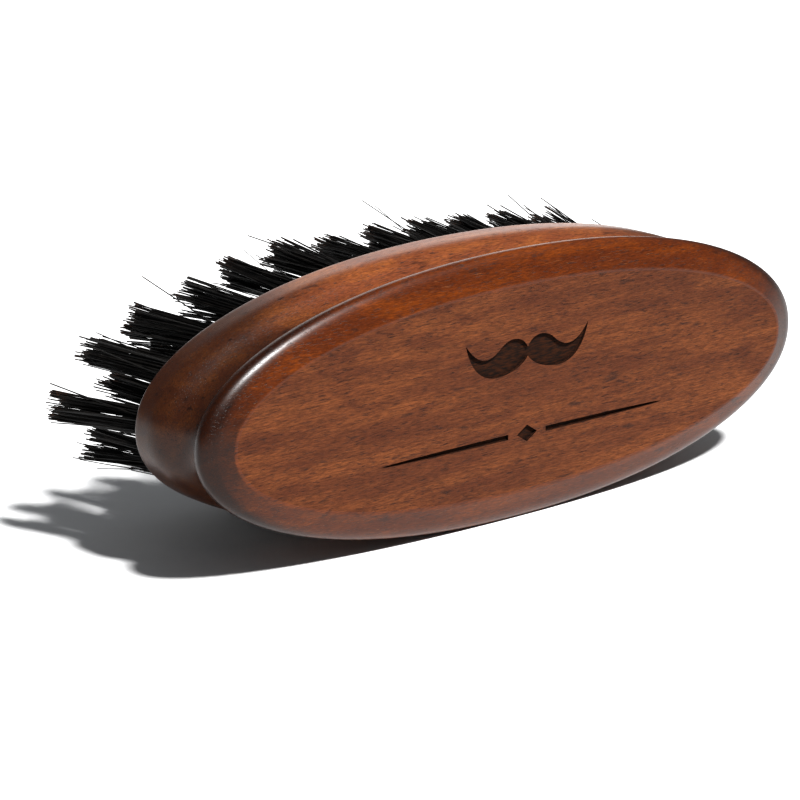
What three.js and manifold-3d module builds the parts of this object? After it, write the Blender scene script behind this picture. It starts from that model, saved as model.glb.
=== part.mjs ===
// A beard brush: one turned-and-routed oval wood body with blind holes in its front,
// and one fanned tuft of boar bristle set in each hole.
//
// Millimetres. X runs along the brush, +Y is the way the bristles point, and +Z is up:
// the brush lies on the long side of its rim, with its flat back towards -Y.
// The origin is at the middle of the bounding box's bottom face.

import * as THREE from "three";
import { mergeVertices } from "three/addons/utils/BufferGeometryUtils.js";
import Module from "manifold-3d";

// Wood body: overall sizes at the rim, which is its widest line.
const LENGTH = 100;
const WIDTH = 35;
const THICKNESS = 15.6;

// The outline is a superellipse: at 2 it is an ellipse, and a larger power fills its corners.
const OUTLINE_POWER = 2.1;

// Wood body: section. An inset is measured inwards from the rim's outline,
// and a depth is measured back from the bristle face.
const BLOCK_INSET = 0.3;
const BLOCK_EDGE_RADIUS = 0.8;
const BLOCK_SIDE_DEPTH = 3.0;
const COVE_INSET = 2.6;
const COVE_DEPTH = 9.6;
const RIM_UNDERSIDE_INSET = 1.0;
const RIM_UNDERSIDE_DROP = 1.8;
const RIM_ROLL_INSET = 1.9;
const RIM_ROLL_DROP = 1.6;
const BEVEL_WIDTH = 3.9;
const BEVEL_HEIGHT = 0.6;

// Tufts and their holes.
const BRISTLE_LENGTH = 17.5;
const HOLE_RADIUS = 1.8;
const HOLE_DEPTH = 7;
const TUFT_CLEARANCE = 0.3;
const TUFT_TIP_RADIUS = 1.75;
const TUFT_TIP_ROUND = 0.6;

// Rows of holes: two ovals and a straight centre row, evenly spaced across the width.
// The middle oval ends ROW_END_SPACING short of the outer one, and the centre row ends
// where the middle oval's holes come within CENTRE_ROW_WALL of its own.
const ROW_INSET = 4.4;
const ROW_END_SPACING = 7;
const CENTRE_ROW_WALL = 0.7;
const OUTER_TUFTS = 28;
const MIDDLE_TUFTS = 22;
const CENTRE_TUFTS = 9;

// The holes are drilled on a fan: the lean is zero at the middle and these at the outer row.
const END_LEAN = THREE.MathUtils.degToRad(15);
const SIDE_LEAN = THREE.MathUtils.degToRad(4);

// Facets.
const BODY_SEGMENTS = 64;
const CURVE_DIVISIONS = 4;
const TUFT_SEGMENTS = 8;

const woodMaterial = new THREE.MeshStandardMaterial({
  color: 0x6f4129,
  roughness: 0.45,
  metalness: 0,
});
const bristleMaterial = new THREE.MeshStandardMaterial({
  color: 0x14110f,
  roughness: 0.5,
  metalness: 0,
});

const wasm = await Module();
wasm.setup();

// A closed geometry, with an optional matrix, as a manifold-3d solid.
function toSolid(geometry, matrix = new THREE.Matrix4()) {
  const bare = geometry.clone().applyMatrix4(matrix);
  bare.deleteAttribute("normal");
  bare.deleteAttribute("uv");
  const merged = mergeVertices(bare, 1e-4);
  const mesh = new wasm.Mesh({
    numProp: 3,
    vertProperties: merged.attributes.position.array,
    triVerts: new Uint32Array(merged.index.array),
  });
  return new wasm.Manifold(mesh);
}

// A manifold-3d solid as a three.js geometry.
function toGeometry(solid) {
  const mesh = solid.getMesh();
  const geometry = new THREE.BufferGeometry();
  geometry.setAttribute("position", new THREE.BufferAttribute(mesh.vertProperties, 3));
  geometry.setIndex(new THREE.BufferAttribute(mesh.triVerts, 1));
  geometry.computeVertexNormals();
  return geometry;
}

// The point of the half section at an inset from the rim's outline and a depth from the front.
function sectionPoint(inset, depth) {
  return new THREE.Vector2(WIDTH / 2 - inset, -depth);
}

// A stretch of the section between two points, shaped by a handle at each end.
function blend(start, startHandle, endHandle, end) {
  return new THREE.CubicBezierCurve(start, startHandle, endHandle, end);
}

// Half section of the wood body, from the middle of the flat back to the middle of the front:
// back face, bevel, rolled rim, cove, block side and the eased front edge.
function bodySection() {
  const bevelFoot = THICKNESS - BEVEL_HEIGHT;
  const bevelSlope = BEVEL_HEIGHT / (BEVEL_WIDTH - RIM_ROLL_INSET);
  const rimDepth = bevelFoot - RIM_ROLL_DROP;
  const undersideDepth = rimDepth - RIM_UNDERSIDE_DROP;
  const backMiddle = sectionPoint(WIDTH / 2, THICKNESS);
  const backEdge = sectionPoint(BEVEL_WIDTH, THICKNESS);
  const bevelEnd = sectionPoint(RIM_ROLL_INSET, bevelFoot);
  const rim = sectionPoint(0, rimDepth);
  const underside = sectionPoint(RIM_UNDERSIDE_INSET, undersideDepth);
  const cove = sectionPoint(COVE_INSET, COVE_DEPTH);
  const sideEnd = sectionPoint(BLOCK_INSET, BLOCK_SIDE_DEPTH);
  const sideStart = sectionPoint(BLOCK_INSET, BLOCK_EDGE_RADIUS);
  const frontEdge = sectionPoint(BLOCK_INSET + BLOCK_EDGE_RADIUS, 0);
  const frontMiddle = sectionPoint(WIDTH / 2, 0);

  // How far each handle stands from its point. The rim's underside runs at 45 degrees.
  const rollReach = RIM_ROLL_INSET / 2;
  const dropReach = RIM_ROLL_DROP / 2;
  const noseReach = RIM_UNDERSIDE_DROP / 2;
  const lipReach = RIM_UNDERSIDE_INSET / 2;
  const fallReach = (COVE_INSET - RIM_UNDERSIDE_INSET) / 2;
  const coveReach = (undersideDepth - COVE_DEPTH) / 2;
  const sideReach = (COVE_DEPTH - BLOCK_SIDE_DEPTH) / 2;
  const edgeReach = BLOCK_EDGE_RADIUS / 2;

  const stretches = [
    new THREE.LineCurve(backMiddle, backEdge),
    new THREE.LineCurve(backEdge, bevelEnd),
    blend(
      bevelEnd,
      sectionPoint(RIM_ROLL_INSET - rollReach, bevelFoot - bevelSlope * rollReach),
      sectionPoint(0, rimDepth + dropReach),
      rim,
    ),
    blend(
      rim,
      sectionPoint(0, rimDepth - noseReach),
      sectionPoint(RIM_UNDERSIDE_INSET - lipReach, undersideDepth + lipReach),
      underside,
    ),
    blend(
      underside,
      sectionPoint(RIM_UNDERSIDE_INSET + fallReach, undersideDepth - fallReach),
      sectionPoint(COVE_INSET, COVE_DEPTH + coveReach),
      cove,
    ),
    blend(
      cove,
      sectionPoint(COVE_INSET, COVE_DEPTH - sideReach),
      sectionPoint(BLOCK_INSET, BLOCK_SIDE_DEPTH + sideReach),
      sideEnd,
    ),
    new THREE.LineCurve(sideEnd, sideStart),
    blend(
      sideStart,
      sectionPoint(BLOCK_INSET, BLOCK_EDGE_RADIUS - edgeReach),
      sectionPoint(BLOCK_INSET + BLOCK_EDGE_RADIUS - edgeReach, 0),
      frontEdge,
    ),
    new THREE.LineCurve(frontEdge, frontMiddle),
  ];
  const section = new THREE.CurvePath();
  for (const stretch of stretches) section.add(stretch);
  return section.getPoints(CURVE_DIVISIONS);
}

// A sine or cosine as the share of the oval's half length or half width.
function outlineShare(value) {
  return Math.sign(value) * Math.abs(value) ** (2 / OUTLINE_POWER);
}

// Turns the section round Y, then draws every ring out along X into an oval,
// so that all the ovals stay the same distance apart at the ends and the sides.
function ovalBody() {
  const geometry = new THREE.LatheGeometry(bodySection(), BODY_SEGMENTS);
  const position = geometry.attributes.position;
  const rings = position.count / (BODY_SEGMENTS + 1);
  const stretch = (LENGTH - WIDTH) / 2;
  for (let i = 0; i < position.count; i += 1) {
    const angle = (Math.floor(i / rings) / BODY_SEGMENTS) * 2 * Math.PI;
    const radius = Math.hypot(position.getX(i), position.getZ(i));
    position.setX(i, (radius + stretch) * outlineShare(Math.sin(angle)));
    position.setZ(i, radius * outlineShare(Math.cos(angle)));
  }
  return geometry;
}

// How far the rows reach from the middle, along and across the brush.
const ROW_REACH_X = LENGTH / 2 - ROW_INSET;
const ROW_REACH_Z = WIDTH / 2 - ROW_INSET;
const MIDDLE_REACH_X = ROW_REACH_X - ROW_END_SPACING;
const MIDDLE_REACH_Z = ROW_REACH_Z / 2;
const CENTRE_ROOM = (2 * HOLE_RADIUS + CENTRE_ROW_WALL) / MIDDLE_REACH_Z;
const CENTRE_REACH_X = MIDDLE_REACH_X * Math.sqrt(1 - CENTRE_ROOM ** 2);

// The centres of the holes in one oval row, evenly spaced round it, as [x, z].
function ovalRow(reachX, reachZ, count) {
  const row = new THREE.EllipseCurve(0, 0, reachX, reachZ);
  return row
    .getSpacedPoints(count)
    .slice(0, count)
    .map((point) => [point.x, point.y]);
}

// The centres of the holes in the straight centre row, as [x, z].
function straightRow(reachX, count) {
  return Array.from({ length: count }, (_, i) => [reachX * ((2 * i) / (count - 1) - 1), 0]);
}

// The matrix of a hole and its tuft: its origin in the bristle face and its Y along the tuft.
function tuftMatrix([x, z]) {
  const axis = new THREE.Vector3(
    (Math.tan(END_LEAN) * x) / ROW_REACH_X,
    1,
    (Math.tan(SIDE_LEAN) * z) / ROW_REACH_Z,
  ).normalize();
  const turn = new THREE.Quaternion().setFromUnitVectors(new THREE.Vector3(0, 1, 0), axis);
  return new THREE.Matrix4().compose(new THREE.Vector3(x, 0, z), turn, new THREE.Vector3(1, 1, 1));
}

// The cutter of one hole, which starts above the face so that it leaves no skin.
function holeGeometry() {
  const above = HOLE_RADIUS;
  const height = HOLE_DEPTH + above;
  const geometry = new THREE.CylinderGeometry(HOLE_RADIUS, HOLE_RADIUS, height, TUFT_SEGMENTS);
  return geometry.translate(0, height / 2 - HOLE_DEPTH, 0);
}

// One tuft: straight in its hole, flaring to its trimmed tip.
function tuftGeometry() {
  const rootRadius = HOLE_RADIUS - TUFT_CLEARANCE;
  const rootDepth = HOLE_DEPTH - TUFT_CLEARANCE;
  const points = [
    new THREE.Vector2(0, -rootDepth),
    new THREE.Vector2(rootRadius, -rootDepth),
    new THREE.Vector2(rootRadius, 0),
    new THREE.Vector2(TUFT_TIP_RADIUS, BRISTLE_LENGTH - TUFT_TIP_ROUND),
    new THREE.Vector2(TUFT_TIP_RADIUS - TUFT_TIP_ROUND, BRISTLE_LENGTH),
    new THREE.Vector2(0, BRISTLE_LENGTH),
  ];
  return new THREE.LatheGeometry(points, TUFT_SEGMENTS);
}

// The oval body with every hole drilled.
function woodBody(matrices) {
  const cutter = holeGeometry();
  let solid = toSolid(ovalBody());
  for (const matrix of matrices) solid = solid.subtract(toSolid(cutter, matrix));
  const mesh = new THREE.Mesh(toGeometry(solid), woodMaterial);
  mesh.name = "wood_body";
  return mesh;
}

// The tufts of one row, numbered round it.
function tuftRow(name, matrices) {
  const geometry = tuftGeometry();
  return matrices.map((matrix, i) => {
    const mesh = new THREE.Mesh(geometry, bristleMaterial);
    mesh.name = `tuft_${name}_${String(i + 1).padStart(2, "0")}`;
    mesh.applyMatrix4(matrix);
    return mesh;
  });
}

const outerRow = ovalRow(ROW_REACH_X, ROW_REACH_Z, OUTER_TUFTS);
const middleRow = ovalRow(MIDDLE_REACH_X, MIDDLE_REACH_Z, MIDDLE_TUFTS);
const centreRow = straightRow(CENTRE_REACH_X, CENTRE_TUFTS);
const rows = {
  outer: outerRow.map(tuftMatrix),
  middle: middleRow.map(tuftMatrix),
  centre: centreRow.map(tuftMatrix),
};

const brush = new THREE.Group();
brush.add(woodBody(Object.values(rows).flat()));
for (const [name, matrices] of Object.entries(rows)) brush.add(...tuftRow(name, matrices));

// The brush stands on the lowest point of its rim, with the origin midway between
// its back face and its bristle tips.
brush.position.set(0, (THICKNESS - BRISTLE_LENGTH) / 2, WIDTH / 2);

const part = new THREE.Group();
part.add(brush);

export default part;
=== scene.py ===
"""Looks of the oval beard brush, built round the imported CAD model.

Everything is in metres, in the CAD frame: X along the brush, +Y the way the bristles point,
-Y the flat back, and +Z up across the brush's width. The brush lies on the side of its rim.
"""

import math

import bmesh
import bpy
import numpy as np
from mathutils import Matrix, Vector


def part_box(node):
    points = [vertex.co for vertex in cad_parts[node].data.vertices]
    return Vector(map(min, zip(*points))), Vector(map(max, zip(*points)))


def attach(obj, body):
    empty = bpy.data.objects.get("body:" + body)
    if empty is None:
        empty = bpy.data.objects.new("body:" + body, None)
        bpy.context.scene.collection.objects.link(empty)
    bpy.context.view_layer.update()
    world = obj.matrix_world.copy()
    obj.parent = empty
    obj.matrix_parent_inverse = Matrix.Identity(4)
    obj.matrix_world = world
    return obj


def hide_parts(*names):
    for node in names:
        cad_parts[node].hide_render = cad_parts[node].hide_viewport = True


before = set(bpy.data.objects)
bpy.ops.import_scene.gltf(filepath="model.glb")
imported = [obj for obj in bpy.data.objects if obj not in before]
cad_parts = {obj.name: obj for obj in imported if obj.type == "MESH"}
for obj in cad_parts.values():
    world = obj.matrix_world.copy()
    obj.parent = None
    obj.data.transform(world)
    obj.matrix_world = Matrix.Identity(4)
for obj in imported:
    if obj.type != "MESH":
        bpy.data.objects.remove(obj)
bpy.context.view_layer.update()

MM = 0.001

# ---------------------------------------------------------------- sizes from the frame

body_low, body_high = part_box("wood_body")
HALF_LENGTH = (body_high.x - body_low.x) / 2
HALF_WIDTH = (body_high.z - body_low.z) / 2
FRONT_Y = body_high.y
BACK_Y = body_low.y
MIDDLE_Z = (body_high.z + body_low.z) / 2
THICKNESS = FRONT_Y - BACK_Y

# ---------------------------------------------------------------- wood section
# An inset runs inwards from the rim's outline and a depth runs back from the bristle face.

OUTLINE_POWER = 2.1
BLOCK_INSET = 0.3 * MM
BLOCK_EDGE_RADIUS = 0.8 * MM
BLOCK_SIDE_DEPTH = 3.0 * MM
COVE_INSET = 2.6 * MM
COVE_DEPTH = 9.6 * MM
UNDERSIDE_INSET = 1.0 * MM
UNDERSIDE_DROP = 1.8 * MM
ROLL_INSET = 1.9 * MM
ROLL_DROP = 1.6 * MM
BEVEL_WIDTH = 3.9 * MM
BEVEL_HEIGHT = 0.6 * MM
CREASE_REACH = 0.35 * MM

RING_STEPS = 384
CURVE_STEPS = 12

# ---------------------------------------------------------------- stain, painted shade and painted sheen
# The block's tone changes between two levels of Y, from the rim's tone to its own. Both tones are
# factors fitted to the photograph's brightness. The block's paler, pinker tone is partly stain and partly
# painted sheen and light, and the end grain's darker tone is partly stain and partly painted shade.

END_GRAIN_AND_SHADE_TONE = 0.24
BLOCK_TONE_START = FRONT_Y - 12.0 * MM
BLOCK_TONE_END = FRONT_Y - 7.0 * MM
COAT_ROUGHNESS = 0.33
COAT_IOR = 1.46

# ---------------------------------------------------------------- holes, anchors and bristles

HOLE_RADIUS = 1.8 * MM
HOLE_DEPTH = 7.0 * MM
HOLE_CHAMFER = 0.18 * MM
HOLE_SIDES = 28
CUTTER_MARGIN = 1.0 * MM

BRISTLES_PER_TUFT = 125
BRISTLE_RADIUS = 0.105 * MM
BRISTLE_SIDES = 4
BRISTLE_RINGS = 6
TUFT_CLUMPS = 9
ROOT_RADIUS = 1.62 * MM
TIP_RADIUS = 1.9 * MM
FLOOR_CLEARANCE = 0.12 * MM
ROOT_DEPTH_SHARE = 0.45
TIP_TAPER = 0.85
BROWN_TIP_START = FRONT_Y + 12.5 * MM
BROWN_TIP_END = FRONT_Y + 17.5 * MM

# A lean is sideways drift for each unit along the tuft's axis. The leans, the bend and the jitter
# are standard deviations.
TUFT_LEAN = 0.02
CLUMP_LEAN = 0.03
OWN_LEAN = 0.016
STRAY_LEAN = 0.1
STRAY_SHARE = 0.035
STRAY_REACH = (0.9, 1.04)
STRAY_THICKNESS = 0.8
THICKNESS_SPREAD = (0.8, 1.2)
TIP_BEND = 0.3 * MM
SPACING_JITTER = 0.05
CLUMP_SPREAD = 0.85
CLUMP_GATHERING = 0.3
LONGEST_REACH = 0.99
CLUMP_TRIM = 0.16
OWN_TRIM = 0.08
FIRST_SEED = 100

ANCHOR_THICKNESS = 0.35 * MM
ANCHOR_HEIGHT = 1.6 * MM
ANCHOR_WIDTH_SHARE = 0.92
ANCHOR_FLOOR_GAP = 0.2 * MM

# ---------------------------------------------------------------- engraving

ENGRAVED_DEPTH = 0.4 * MM

# The mark's other sizes are in millimetres, from the middle of the back face.
MOUSTACHE_RISE = 4.4
RULE_DROP = 6.0
RULE_START = 3.2
RULE_END = 24
RULE_HALF_HEIGHT = 0.34
LOZENGE_HALF_WIDTH = 1.7
LOZENGE_HALF_HEIGHT = 1.1

# ---------------------------------------------------------------- shading

WOOD_SHARP_ANGLE = math.radians(32)
BRISTLE_SHARP_ANGLE = math.radians(60)

# ---------------------------------------------------------------- stage
# A light's direction points from the brush to the light.

FLOOR_REACH = 4.0
KEY_DIRECTION = Vector((0.04, -0.57, 0.82))
KEY_STRENGTH = 7.6
KEY_SPREAD = math.radians(7)
PANEL_DIRECTION = Vector((0.5, 0.8, 0.24))
PANEL_DISTANCE = 0.8
PANEL_SIZE = 0.5
PANEL_WATTS = 0.9
PANEL_TINT = (1.0, 0.97, 0.95)
ROOM_STRENGTH = 0.18

CAMERA_AZIMUTH = math.radians(-40.2)
CAMERA_ELEVATION = math.radians(15.45)
CAMERA_DISTANCE = 374.5 * MM
CAMERA_TARGET = Vector((-14.6 * MM, FRONT_Y - 8 * MM, MIDDLE_Z - 0.68 * MM))
LENS = 135
SENSOR_WIDTH = 36
NEAREST_SEEN = 0.01
FURTHEST_SEEN = 20


def grid_object(name, points, faces, materials):
    """A mesh object from numpy points and quads or triangles."""
    mesh = bpy.data.meshes.new(name)
    mesh.from_pydata([tuple(p) for p in points], [], [tuple(f) for f in faces])
    mesh.update()
    piece = bpy.data.objects.new(name, mesh)
    bpy.context.scene.collection.objects.link(piece)
    for material in materials:
        mesh.materials.append(material)
    return piece


# ================================================================ materials


class Nodes:
    """Short names for building a node material."""

    def __init__(self, name):
        self.material = bpy.data.materials.new(name)
        self.material.use_nodes = True
        self.tree = self.material.node_tree
        self.shader = self.tree.nodes["Principled BSDF"]

    def link(self, source, target):
        self.tree.links.new(source, target)

    def set(self, node, socket, value):
        if isinstance(value, bpy.types.NodeSocket):
            self.link(value, node.inputs[socket])
        else:
            node.inputs[socket].default_value = value

    def place(self, along, across):
        """Object coordinates counted in grains: `along` the wood and `across` it, in metres."""
        coordinates = self.tree.nodes.new("ShaderNodeTexCoord")
        mapping = self.tree.nodes.new("ShaderNodeMapping")
        mapping.inputs["Scale"].default_value = (1 / along, 1 / across, 1 / across)
        self.link(coordinates.outputs["Object"], mapping.inputs["Vector"])
        return mapping.outputs["Vector"]

    def noise(self, vector, detail=3.0, roughness=0.55, distortion=0.0, offset=0.0):
        node = self.tree.nodes.new("ShaderNodeTexNoise")
        node.noise_dimensions = "4D"
        self.link(vector, node.inputs["Vector"])
        node.inputs["W"].default_value = offset
        node.inputs["Scale"].default_value = 1.0
        node.inputs["Detail"].default_value = detail
        node.inputs["Roughness"].default_value = roughness
        node.inputs["Distortion"].default_value = distortion
        return node.outputs["Fac"]

    def range(self, value, low, high, to_low=0.0, to_high=1.0):
        node = self.tree.nodes.new("ShaderNodeMapRange")
        node.interpolation_type = "SMOOTHSTEP"
        self.link(value, node.inputs["Value"])
        node.inputs["From Min"].default_value = low
        node.inputs["From Max"].default_value = high
        node.inputs["To Min"].default_value = to_low
        node.inputs["To Max"].default_value = to_high
        return node.outputs["Result"]

    def mix(self, factor, first, second, blend="MIX"):
        node = self.tree.nodes.new("ShaderNodeMix")
        node.data_type = "RGBA"
        node.blend_type = blend
        for socket, value in (("Factor_Float", factor), ("A_Color", first), ("B_Color", second)):
            target = next(s for s in node.inputs if s.identifier == socket)
            if isinstance(value, bpy.types.NodeSocket):
                self.link(value, target)
            else:
                target.default_value = value
        return next(s for s in node.outputs if s.identifier == "Result_Color")

    def split(self, vector, axis):
        node = self.tree.nodes.new("ShaderNodeSeparateXYZ")
        self.link(vector, node.inputs[0])
        return node.outputs[axis]

    def maths(self, operation, first, second):
        node = self.tree.nodes.new("ShaderNodeMath")
        node.operation = operation
        self.set(node, 0, first)
        self.set(node, 1, second)
        return node.outputs[0]

    def bump(self, height, distance, strength=1.0):
        node = self.tree.nodes.new("ShaderNodeBump")
        node.inputs["Strength"].default_value = strength
        node.inputs["Distance"].default_value = distance
        self.link(height, node.inputs["Height"])
        return node.outputs["Normal"]


def colour(red, green, blue):
    return (red, green, blue, 1.0)


WORN_TONE = colour(0.3, 0.13, 0.05)
# The block's tone: partly stain, partly painted sheen and light that make it paler and pinker.
BLOCK_STAIN_AND_SHEEN = colour(1.95, 2.8, 13.0)
UNCHANGED = colour(1, 1, 1)


def wood_material(name, light, dark, pore, wear, roughness, coat, specular, relief):
    """Stained close-grained wood with short dark pores and smudges, its grain along X.

    Stain pools towards the rim. End grain is darker, partly from the stain it drinks and partly as painted
    shade on the ends, and the block is paler and pinker, partly stain and partly painted sheen and light.
    The block's tone goes on before the smudges and pores, which keep their own colour. `wear` is how
    strongly fine pale scratches show, and `relief` is the height of the grain.
    """
    n = Nodes(name)
    coordinates = n.tree.nodes.new("ShaderNodeTexCoord")
    position = coordinates.outputs["Object"]
    along = n.maths("DIVIDE", n.split(position, "X"), HALF_LENGTH)
    across = n.maths("DIVIDE", n.maths("SUBTRACT", n.split(position, "Z"), MIDDLE_Z), HALF_WIDTH)
    reach = n.maths("ADD", n.maths("MULTIPLY", along, along), n.maths("MULTIPLY", across, across))
    pooled = n.range(reach, 0.35, 0.9, 0.0, 0.09)

    bands = n.noise(n.place(30 * MM, 2.6 * MM), detail=4, distortion=0.4)
    mottle = n.noise(n.place(9 * MM, 2.4 * MM), detail=4, roughness=0.6, distortion=0.6, offset=9.2)
    mottle = n.maths("ADD", mottle, pooled)
    streaks = n.noise(n.place(3.8 * MM, 0.24 * MM), detail=5, roughness=0.75, distortion=0.15, offset=3.1)
    smudges = n.noise(n.place(3.6 * MM, 0.8 * MM), detail=4, roughness=0.6, distortion=0.4, offset=7.7)
    fibres = n.noise(n.place(0.9 * MM, 0.11 * MM), detail=3, roughness=0.7, offset=5.3)
    pores = n.noise(n.place(1.3 * MM, 0.15 * MM), detail=2, roughness=0.5, offset=1.9)
    scratches = n.noise(n.place(4.5 * MM, 0.07 * MM), detail=2, roughness=0.6, offset=12.4)

    ground = n.mix(n.range(bands, 0.34, 0.66, 0.0, 0.75), light, dark)
    ground = n.mix(n.range(streaks, 0.44, 0.66, 0.0, 0.8), ground, dark)
    ground = n.mix(n.range(mottle, 0.5, 0.68, 0.0, 0.75), ground, dark)
    # Paler, pinker block between two levels of Y: partly stain, partly painted sheen and light.
    block = n.range(n.split(position, "Y"), BLOCK_TONE_START, BLOCK_TONE_END)
    ground = n.mix(1.0, ground, n.mix(block, UNCHANGED, BLOCK_STAIN_AND_SHEEN), "MULTIPLY")

    ground = n.mix(n.range(smudges, 0.58, 0.72, 0.0, 0.75), ground, pore)
    gathered = n.range(mottle, 0.36, 0.62, 0.45, 1.0)
    pore_share = n.maths("MULTIPLY", n.range(pores, 0.59, 0.68), gathered)
    ground = n.mix(n.maths("MULTIPLY", pore_share, 0.8), ground, pore)
    ground = n.mix(1.0, ground, n.range(fibres, 0.28, 0.72, 0.58, 1.42), "MULTIPLY")
    ground = n.mix(n.range(scratches, 0.66, 0.74, 0.0, wear), ground, WORN_TONE)
    # Surfaces facing along X get darker: partly end-grain stain, partly painted shade on the ends.
    facing = n.maths("ABSOLUTE", n.split(coordinates.outputs["Normal"], "X"), 0.0)
    end_grain_and_shade = n.range(facing, 0.1, 0.34, 1.0, END_GRAIN_AND_SHADE_TONE)
    n.link(n.mix(1.0, ground, end_grain_and_shade, "MULTIPLY"), n.shader.inputs["Base Color"])

    uneven = n.maths("ADD", n.range(streaks, 0.3, 0.7, -0.05, 0.05), roughness)
    uneven = n.maths("ADD", uneven, n.maths("MULTIPLY", pore_share, 0.15))
    n.link(uneven, n.shader.inputs["Roughness"])
    n.shader.inputs["Specular IOR Level"].default_value = specular
    n.shader.inputs["Coat Weight"].default_value = coat
    n.shader.inputs["Coat Roughness"].default_value = COAT_ROUGHNESS
    n.shader.inputs["Coat IOR"].default_value = COAT_IOR
    raised = n.maths("MULTIPLY", fibres, 0.5)
    grain = n.maths("SUBTRACT", raised, n.maths("MULTIPLY", pore_share, 0.8))
    n.link(n.bump(grain, relief), n.shader.inputs["Normal"])
    return n.material


def engraved_material():
    """Wood scorched by engraving: nearly black in the cut, with charred grain."""
    n = Nodes("engraved_wood")
    char = n.noise(n.place(1.2 * MM, 0.2 * MM), detail=4)
    shade = n.mix(n.range(char, 0.35, 0.68), colour(0.006, 0.003, 0.002), colour(0.03, 0.01, 0.004))
    n.link(shade, n.shader.inputs["Base Color"])
    n.shader.inputs["Specular IOR Level"].default_value = 0.1
    n.link(n.range(char, 0.3, 0.7, 0.75, 0.95), n.shader.inputs["Roughness"])
    n.link(n.bump(char, 0.06 * MM), n.shader.inputs["Normal"])
    return n.material


def bristle_material():
    """Black boar bristle: glossy along the hair, browner towards the cut tips."""
    n = Nodes("boar_bristle")
    patches = n.noise(n.place(0.5 * MM, 1.5 * MM), detail=3)
    fleck = n.noise(n.place(0.22 * MM, 0.22 * MM), detail=1, offset=2.0)
    coordinates = n.tree.nodes.new("ShaderNodeTexCoord")
    height = n.split(coordinates.outputs["Object"], "Y")
    near_tip = n.range(height, BROWN_TIP_START, BROWN_TIP_END)
    brown = n.maths("MULTIPLY", near_tip, n.range(fleck, 0.45, 0.7))
    ground = n.mix(n.range(patches, 0.35, 0.7), colour(0.0025, 0.0022, 0.002), colour(0.006, 0.0048, 0.004))
    n.link(n.mix(brown, ground, colour(0.075, 0.032, 0.017)), n.shader.inputs["Base Color"])
    n.link(n.range(patches, 0.3, 0.7, 0.4, 0.58), n.shader.inputs["Roughness"])
    n.shader.inputs["Specular IOR Level"].default_value = 0.22
    n.link(n.bump(fleck, 0.01 * MM, 0.4), n.shader.inputs["Normal"])
    return n.material


def anchor_material():
    """Rolled steel strip with drawn scratches."""
    n = Nodes("anchor_steel")
    scratches = n.noise(n.place(0.05 * MM, 0.6 * MM), detail=3)
    shade = n.mix(n.range(scratches, 0.3, 0.7), colour(0.36, 0.35, 0.33), colour(0.52, 0.51, 0.49))
    n.link(shade, n.shader.inputs["Base Color"])
    n.shader.inputs["Metallic"].default_value = 1.0
    n.link(n.range(scratches, 0.3, 0.7, 0.3, 0.5), n.shader.inputs["Roughness"])
    return n.material


def floor_material():
    """Matte white paper sweep with a faint tooth."""
    n = Nodes("paper_floor")
    tooth = n.noise(n.place(3 * MM, 3 * MM), detail=4)
    n.link(n.mix(tooth, colour(0.68, 0.68, 0.68), colour(0.72, 0.72, 0.72)), n.shader.inputs["Base Color"])
    n.shader.inputs["Roughness"].default_value = 0.8
    n.shader.inputs["Specular IOR Level"].default_value = 0.15
    return n.material


# ================================================================ wood body


def cubic(start, start_handle, end_handle, end, steps=CURVE_STEPS):
    """Points of a Bezier stretch, without its start."""
    t = np.linspace(0, 1, steps + 1)[1:, None]
    points = (
        (1 - t) ** 3 * np.array(start)
        + 3 * (1 - t) ** 2 * t * np.array(start_handle)
        + 3 * (1 - t) * t**2 * np.array(end_handle)
        + t**3 * np.array(end)
    )
    return points


def section():
    """Half section as (inset, depth) points, from the back face's edge to the bristle face's edge."""
    bevel_foot = THICKNESS - BEVEL_HEIGHT
    rim_depth = bevel_foot - ROLL_DROP
    underside_depth = rim_depth - UNDERSIDE_DROP
    slope = BEVEL_HEIGHT / (BEVEL_WIDTH - ROLL_INSET)
    crease = (BEVEL_WIDTH, THICKNESS)
    crease_start = (BEVEL_WIDTH + CREASE_REACH, THICKNESS)
    crease_end = (BEVEL_WIDTH - CREASE_REACH, THICKNESS - slope * CREASE_REACH)
    bevel_end = (ROLL_INSET, bevel_foot)
    rim = (0.0, rim_depth)
    underside = (UNDERSIDE_INSET, underside_depth)
    cove = (COVE_INSET, COVE_DEPTH)
    side_end = (BLOCK_INSET, BLOCK_SIDE_DEPTH)
    side_start = (BLOCK_INSET, BLOCK_EDGE_RADIUS)
    front_edge = (BLOCK_INSET + BLOCK_EDGE_RADIUS, 0.0)

    roll = ROLL_INSET / 2
    nose = UNDERSIDE_DROP / 2
    lip = UNDERSIDE_INSET / 2
    fall = (COVE_INSET - UNDERSIDE_INSET) / 2
    rise = (underside_depth - COVE_DEPTH) / 2
    sweep = (COVE_DEPTH - BLOCK_SIDE_DEPTH) / 2
    edge = BLOCK_EDGE_RADIUS / 2
    stretches = [
        [crease_start],
        cubic(crease_start, crease, crease, crease_end, 6),
        np.linspace(crease_end, bevel_end, 6)[1:],
        cubic(bevel_end, (roll, bevel_foot - slope * roll), (0, rim_depth + ROLL_DROP / 2), rim),
        cubic(rim, (0, rim_depth - nose), (lip, underside_depth + lip), underside),
        cubic(
            underside,
            (UNDERSIDE_INSET + fall, underside_depth - fall),
            (COVE_INSET, COVE_DEPTH + rise),
            cove,
        ),
        cubic(cove, (COVE_INSET, COVE_DEPTH - sweep), (BLOCK_INSET, BLOCK_SIDE_DEPTH + sweep), side_end, 16),
        np.linspace(side_end, side_start, 6)[1:],
        cubic(side_start, (BLOCK_INSET, edge), (BLOCK_INSET + edge, 0), front_edge, 8),
    ]
    return np.vstack(stretches)


def filled(share):
    """A cosine or sine bent so that its oval is a little fuller at the corners than an ellipse."""
    return np.sign(share) * np.abs(share) ** (2 / OUTLINE_POWER)


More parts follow.
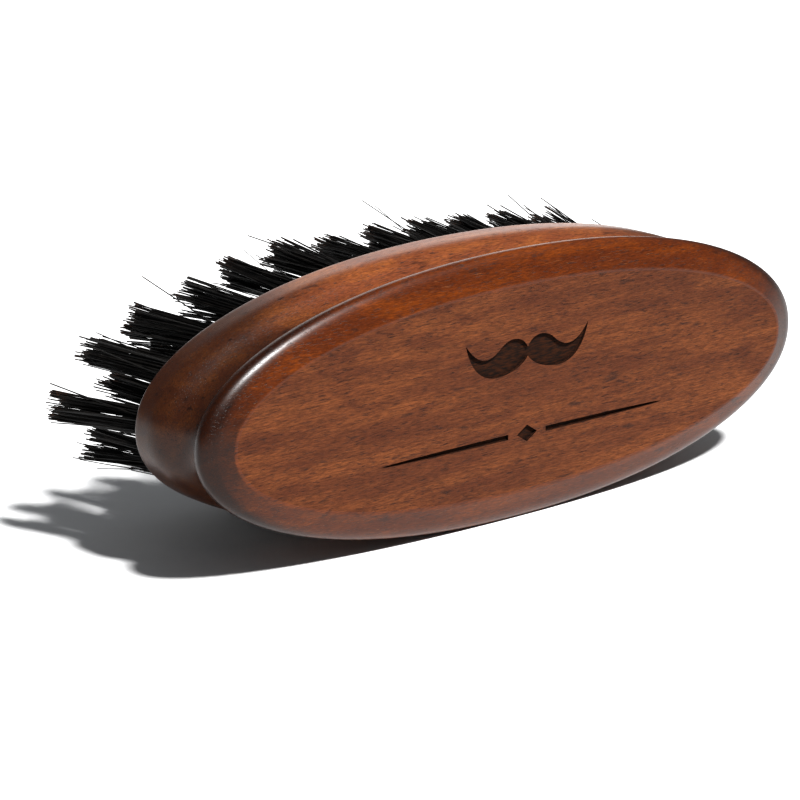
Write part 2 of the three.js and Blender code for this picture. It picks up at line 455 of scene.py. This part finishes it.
def blank_body(finished, face, cut):
    """The oval body before drilling: rings of the section, closed by its two flat faces."""
    profile = section()
    angles = np.linspace(0, 2 * math.pi, RING_STEPS, endpoint=False)
    rings = []
    for inset, depth in profile:
        x = (HALF_LENGTH - inset) * filled(np.cos(angles))
        z = MIDDLE_Z + (HALF_WIDTH - inset) * filled(np.sin(angles))
        y = np.full(RING_STEPS, FRONT_Y - depth)
        rings.append(np.column_stack([x, y, z]))
    points = np.vstack(rings)
    faces = []
    for ring in range(len(profile) - 1):
        for step in range(RING_STEPS):
            after = (step + 1) % RING_STEPS
            low, high = ring * RING_STEPS, (ring + 1) * RING_STEPS
            faces.append((low + step, high + step, high + after, low + after))
    last = (len(profile) - 1) * RING_STEPS
    faces.append(tuple(range(RING_STEPS)))
    faces.append(tuple(last + step for step in reversed(range(RING_STEPS))))
    body = grid_object("brush_body", points, faces, [finished, face, cut])
    back_face = len(faces) - 2
    body.data.polygons[back_face].material_index = 1
    return body


def revolved(profile, sides):
    """Points and faces of a closed solid turned round +Y; the profile starts and ends on the axis."""
    inner = profile[1:-1]
    turn = np.linspace(0, 2 * math.pi, sides, endpoint=False)
    points = [(0.0, profile[0][1], 0.0)]
    for radius, height in inner:
        points += [(radius * math.cos(a), height, radius * math.sin(a)) for a in turn]
    points.append((0.0, profile[-1][1], 0.0))
    top = len(points) - 1
    faces = []
    for side in range(sides):
        after = (side + 1) % sides
        faces.append((0, 1 + side, 1 + after))
        for ring in range(len(inner) - 1):
            low, high = 1 + ring * sides, 1 + (ring + 1) * sides
            faces.append((low + side, high + side, high + after, low + after))
        last = 1 + (len(inner) - 1) * sides
        faces.append((last + side, top, last + after))
    return np.array(points), faces


def subtract(body, cutter):
    """Cuts one object out of another and deletes the cutter."""
    modifier = body.modifiers.new("cut", "BOOLEAN")
    modifier.operation = "DIFFERENCE"
    modifier.solver = "EXACT"
    modifier.object = cutter
    bpy.context.view_layer.objects.active = body
    bpy.ops.object.modifier_apply(modifier=modifier.name)
    bpy.data.objects.remove(cutter)


def hole_cutter(tufts, material):
    """Every drilled hole as one object: a flat-bottomed hole with a small chamfer at its mouth."""
    profile = [
        (0, -HOLE_DEPTH),
        (HOLE_RADIUS, -HOLE_DEPTH),
        (HOLE_RADIUS, -HOLE_CHAMFER),
        (HOLE_RADIUS + HOLE_CHAMFER, 0),
        (HOLE_RADIUS + HOLE_CHAMFER, CUTTER_MARGIN),
        (0, CUTTER_MARGIN),
    ]
    shape, shape_faces = revolved(profile, HOLE_SIDES)
    points, faces = [], []
    for tuft in tufts:
        start = len(points)
        points += list(tuft.to_world(shape))
        faces += [tuple(start + i for i in face) for face in shape_faces]
    cutter = grid_object("hole_cutter", points, faces, [material])
    recalculate_normals(cutter)
    return cutter


def moustache():
    """A handlebar moustache as (x, z) in millimetres from its own middle, right half then left."""
    stretches = [
        cubic((0, 0.9), (0.9, 2.5), (3.0, 2.7), (4.6, 1.3)),
        cubic((4.6, 1.3), (6.2, -0.1), (8.2, -0.5), (10.4, 2.6)),
        cubic((10.4, 2.6), (9.6, -0.9), (7.4, -2.6), (4.6, -2.3)),
        cubic((4.6, -2.3), (2.2, -2.1), (0.7, -1.2), (0, -0.3)),
    ]
    right = np.vstack([[(0, 0.9)], *stretches])
    left = right[1:-1][::-1] * (-1, 1)
    return np.vstack([right, left])


def rule(start, end, half_height, steps=24):
    """A rule that tapers to a point at its outer end, as (x, z) in millimetres."""
    share = np.linspace(0, 1, steps)
    x = start + (end - start) * share
    z = half_height * np.sqrt(1 - share**2)
    return np.vstack([np.column_stack([x, z]), np.column_stack([x[-2::-1], -z[-2::-1]])])


def engraving_outlines():
    """The mark on the back as closed outlines of (x, z): a moustache over two rules and a lozenge."""
    right_rule = rule(RULE_START, RULE_END, RULE_HALF_HEIGHT)
    left_rule = right_rule * (-1, 1)
    wide, high = LOZENGE_HALF_WIDTH, LOZENGE_HALF_HEIGHT
    lozenge = np.array([(wide, 0), (0, high), (-wide, 0), (0, -high)])
    lower = [outline + (0, -RULE_DROP) for outline in (right_rule, left_rule, lozenge)]
    return [outline * MM for outline in (moustache() + (0, MOUSTACHE_RISE), *lower)]


def engraving_cutter(material):
    """The mark as a set of straight-walled blocks that reach into the back face."""
    points, faces = [], []
    for outline in engraving_outlines():
        start, count = len(points), len(outline)
        for y in (BACK_Y - CUTTER_MARGIN, BACK_Y + ENGRAVED_DEPTH):
            points += [(x, y, z + MIDDLE_Z) for x, z in outline]
        faces.append(tuple(start + i for i in range(count)))
        faces.append(tuple(start + count + i for i in reversed(range(count))))
        for i in range(count):
            after = (i + 1) % count
            faces.append((start + i, start + count + i, start + count + after, start + after))
    cutter = grid_object("engraving_cutter", points, faces, [material])
    recalculate_normals(cutter)
    return cutter


def recalculate_normals(piece):
    work = bmesh.new()
    work.from_mesh(piece.data)
    bmesh.ops.recalc_face_normals(work, faces=work.faces)
    work.to_mesh(piece.data)
    work.free()


def wood_body(tufts, finished, face, cut):
    body = blank_body(finished, face, cut)
    recalculate_normals(body)
    subtract(body, hole_cutter(tufts, finished))
    subtract(body, engraving_cutter(cut))
    body.data.shade_smooth()
    body.data.set_sharp_from_angle(angle=WOOD_SHARP_ANGLE)
    return body


# ================================================================ tufts


class Tuft:
    """A tuft's place, read from its CAD node: where its axis meets the bristle face, and its axis."""

    def __init__(self, node):
        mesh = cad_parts[node].data
        points = np.array([v.co for v in mesh.vertices])
        middle = points.mean(axis=0)
        _, _, directions = np.linalg.svd(points - middle)
        axis = directions[0] * np.sign(directions[0][1])
        self.node = node
        self.axis = axis
        self.root = middle + axis * (FRONT_Y - middle[1]) / axis[1]
        self.length = ((points - self.root) @ axis).max()
        side = np.cross(axis, (0, 0, 1.0))
        self.side = side / np.linalg.norm(side)
        self.up = np.cross(self.side, axis)

    def to_world(self, points):
        """Points given as (side, along the axis, up) in the world."""
        points = np.asarray(points)
        return (
            self.root
            + points[..., 0:1] * self.side
            + points[..., 1:2] * self.axis
            + points[..., 2:3] * self.up
        )


def sunflower(count, turn):
    """Points spread evenly over the unit disc."""
    index = np.arange(count)
    radius = np.sqrt((index + 0.5) / count)
    angle = index * math.pi * (3 - math.sqrt(5)) + turn
    return np.column_stack([radius * np.cos(angle), radius * np.sin(angle)])


def bristle_centres(rng, tuft):
    """Centre lines of a tuft's bristles, as an array of (bristle, ring, xyz) in the world."""
    count = BRISTLES_PER_TUFT
    disc = sunflower(count, rng.uniform(0, 2 * math.pi))
    disc = disc + rng.normal(0, SPACING_JITTER, (count, 2))
    clumps = sunflower(TUFT_CLUMPS, rng.uniform(0, 2 * math.pi)) * CLUMP_SPREAD
    member = np.argmin(((disc[:, None] - clumps[None]) ** 2).sum(axis=-1), axis=1)

    lean = rng.normal(0, TUFT_LEAN, 2)
    clump_lean = rng.normal(0, CLUMP_LEAN, (TUFT_CLUMPS, 2))
    own_lean = rng.normal(0, OWN_LEAN, (count, 2))
    stray = rng.random(count) < STRAY_SHARE
    own_lean[stray] += rng.normal(0, STRAY_LEAN, (stray.sum(), 2))
    bend = rng.normal(0, TIP_BEND, (count, 2))

    clump_reach = 1 - CLUMP_TRIM * rng.random(TUFT_CLUMPS) ** 1.3
    own_reach = 1 - OWN_TRIM * rng.random(count) ** 2
    reach = LONGEST_REACH * tuft.length * clump_reach[member] * own_reach
    reach[stray] *= rng.uniform(*STRAY_REACH, stray.sum())

    start = -HOLE_DEPTH * ROOT_DEPTH_SHARE
    share = np.linspace(0, 1, BRISTLE_RINGS)
    along = start + (reach[:, None] - start) * share
    above = np.clip(along / tuft.length, 0, None)
    gathered = (above**2 * CLUMP_GATHERING)[..., None]
    spot = disc[:, None] * (1 - gathered) + clumps[member][:, None] * gathered
    flare = ROOT_RADIUS + (TIP_RADIUS - ROOT_RADIUS) * above
    leaning = (own_lean + clump_lean[member] + lean)[:, None]
    offset = spot * flare[..., None]
    offset = offset + leaning * np.clip(along, 0, None)[..., None]
    offset = offset + bend[:, None] * (above**2)[..., None]
    local = np.stack([offset[..., 0], along, offset[..., 1]], axis=-1)
    centres = tuft.to_world(local)
    low = body_low.z + FLOOR_CLEARANCE
    centres[..., 2] = np.maximum(centres[..., 2], low)
    return centres, stray


def bristle_mesh(name, rng, tuft, material):
    """One tuft of separate bristles, each a thin tapering tube closed at both ends."""
    centres, stray = bristle_centres(rng, tuft)
    count = len(centres)
    thickness = BRISTLE_RADIUS * rng.uniform(*THICKNESS_SPREAD, count)
    thickness = thickness * np.where(stray, STRAY_THICKNESS, 1.0)
    taper = np.linspace(1.0, TIP_TAPER, BRISTLE_RINGS)
    turn = np.linspace(0, 2 * math.pi, BRISTLE_SIDES, endpoint=False)
    twist = rng.uniform(0, 2 * math.pi, count)[:, None] + turn
    ring = np.cos(twist)[..., None] * tuft.side + np.sin(twist)[..., None] * tuft.up
    radii = thickness[:, None] * taper
    points = centres[:, :, None, :] + radii[:, :, None, None] * ring[:, None, :, :]
    points = points.reshape(-1, 3)

    corners = BRISTLE_RINGS * BRISTLE_SIDES
    faces = []
    one = []
    for level in range(BRISTLE_RINGS - 1):
        for side in range(BRISTLE_SIDES):
            after = (side + 1) % BRISTLE_SIDES
            low, high = level * BRISTLE_SIDES, (level + 1) * BRISTLE_SIDES
            one.append((low + side, low + after, high + after, high + side))
    one.append(tuple(reversed(range(BRISTLE_SIDES))))
    one.append(tuple(corners - BRISTLE_SIDES + side for side in range(BRISTLE_SIDES)))
    for bristle in range(count):
        faces += [tuple(bristle * corners + i for i in face) for face in one]
    piece = grid_object(name, points, faces, [material])
    recalculate_normals(piece)
    piece.data.shade_smooth()
    piece.data.set_sharp_from_angle(angle=BRISTLE_SHARP_ANGLE)
    return piece


def anchors(tufts, material):
    """The flat strip at the bottom of each hole that the tuft is folded round."""
    half = np.array([HOLE_RADIUS * ANCHOR_WIDTH_SHARE, ANCHOR_HEIGHT / 2, ANCHOR_THICKNESS / 2])
    corners = np.array([(x, y, z) for x in (-1, 1) for y in (-1, 1) for z in (-1, 1)]) * half
    corners[:, 1] += ANCHOR_HEIGHT / 2 - HOLE_DEPTH + ANCHOR_FLOOR_GAP
    box = [(0, 1, 3, 2), (4, 6, 7, 5), (0, 4, 5, 1), (2, 3, 7, 6), (0, 2, 6, 4), (1, 5, 7, 3)]
    points, faces = [], []
    for tuft in tufts:
        start = len(points)
        points += list(tuft.to_world(corners))
        faces += [tuple(start + i for i in face) for face in box]
    piece = grid_object("anchor_strips", points, faces, [material])
    recalculate_normals(piece)
    return piece


# ================================================================ stage


def floor():
    far = FLOOR_REACH
    corners = [(-far, -far, 0), (far, -far, 0), (far, far, 0), (-far, far, 0)]
    plane = grid_object("floor", corners, [(0, 1, 2, 3)], [floor_material()])


def aim(lamp, towards):
    lamp.rotation_mode = "QUATERNION"
    lamp.rotation_quaternion = towards.to_track_quat("Z", "Y")
    bpy.context.scene.collection.objects.link(lamp)


def panel(name, towards, distance, size, watts, tint):
    """A soft square light that shines at the brush from the direction given."""
    data = bpy.data.lights.new(name, "AREA")
    data.shape = "SQUARE"
    data.size = size
    data.energy = watts
    data.color = tint
    lamp = bpy.data.objects.new(name, data)
    lamp.location = Vector((0, 0, MIDDLE_Z)) + towards.normalized() * distance
    aim(lamp, towards)


def light():
    """A key from above on the back face's side, a low panel on the bristle side, and a dim room.

    The camera sees a plain white backdrop in the room's place.
    """
    key = bpy.data.lights.new("key", "SUN")
    key.energy = KEY_STRENGTH
    key.angle = KEY_SPREAD
    aim(bpy.data.objects.new("key", key), KEY_DIRECTION)
    panel("back_panel", PANEL_DIRECTION, PANEL_DISTANCE, PANEL_SIZE, PANEL_WATTS, PANEL_TINT)
    world = bpy.data.worlds.new("studio")
    world.use_nodes = True
    tree = world.node_tree
    room = tree.nodes["Background"]
    room.inputs["Color"].default_value = colour(0.9, 0.95, 1)
    room.inputs["Strength"].default_value = ROOM_STRENGTH
    backdrop = tree.nodes.new("ShaderNodeBackground")
    backdrop.inputs["Color"].default_value = colour(1, 1, 1)
    ray = tree.nodes.new("ShaderNodeLightPath")
    seen = tree.nodes.new("ShaderNodeMixShader")
    tree.links.new(ray.outputs["Is Camera Ray"], seen.inputs["Fac"])
    tree.links.new(room.outputs["Background"], seen.inputs[1])
    tree.links.new(backdrop.outputs["Background"], seen.inputs[2])
    tree.links.new(seen.outputs["Shader"], tree.nodes["World Output"].inputs["Surface"])
    bpy.context.scene.world = world


def camera():
    level = math.cos(CAMERA_ELEVATION)
    right = math.sin(CAMERA_AZIMUTH) * level
    forward = -math.cos(CAMERA_AZIMUTH) * level
    back = Vector((right, forward, math.sin(CAMERA_ELEVATION)))
    data = bpy.data.cameras.new("camera")
    data.lens = LENS
    data.sensor_width = SENSOR_WIDTH
    data.clip_start = NEAREST_SEEN
    data.clip_end = FURTHEST_SEEN
    item = bpy.data.objects.new("camera", data)
    item.location = CAMERA_TARGET + back * CAMERA_DISTANCE
    item.rotation_mode = "QUATERNION"
    item.rotation_quaternion = back.to_track_quat("Z", "Y")
    bpy.context.scene.collection.objects.link(item)
    bpy.context.scene.camera = item


# ================================================================ build

lacquered = wood_material(
    "lacquered_wood",
    light=colour(0.1, 0.0225, 0.0012),
    dark=colour(0.052, 0.01, 0.0008),
    pore=colour(0.02, 0.006, 0.003),
    wear=0.5,
    roughness=0.32,
    coat=0.25,
    specular=0.2,
    relief=0.015 * MM,
)
sanded = wood_material(
    "sanded_wood_back",
    light=colour(0.116, 0.0365, 0.011),
    dark=colour(0.055, 0.0155, 0.006),
    pore=colour(0.022, 0.009, 0.006),
    wear=0.15,
    roughness=0.62,
    coat=0.0,
    specular=0.16,
    relief=0.05 * MM,
)
scorched = engraved_material()
bristle = bristle_material()

tufts = [Tuft(node) for node in sorted(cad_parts) if node.startswith("tuft_")]

body = wood_body(tufts, lacquered, sanded, scorched)
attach(body, "root")
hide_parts("wood_body")

for number, tuft in enumerate(tufts):
    rng = np.random.default_rng(FIRST_SEED + number)
    piece = bristle_mesh(tuft.node.replace("tuft", "bristles"), rng, tuft, bristle)
    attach(piece, "root")
    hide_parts(tuft.node)

strips = anchors(tufts, anchor_material())
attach(strips, "root")

floor()
light()
camera()
bpy.context.scene.view_settings.view_transform = "Standard"
bpy.context.scene.view_settings.look = "Medium High Contrast"
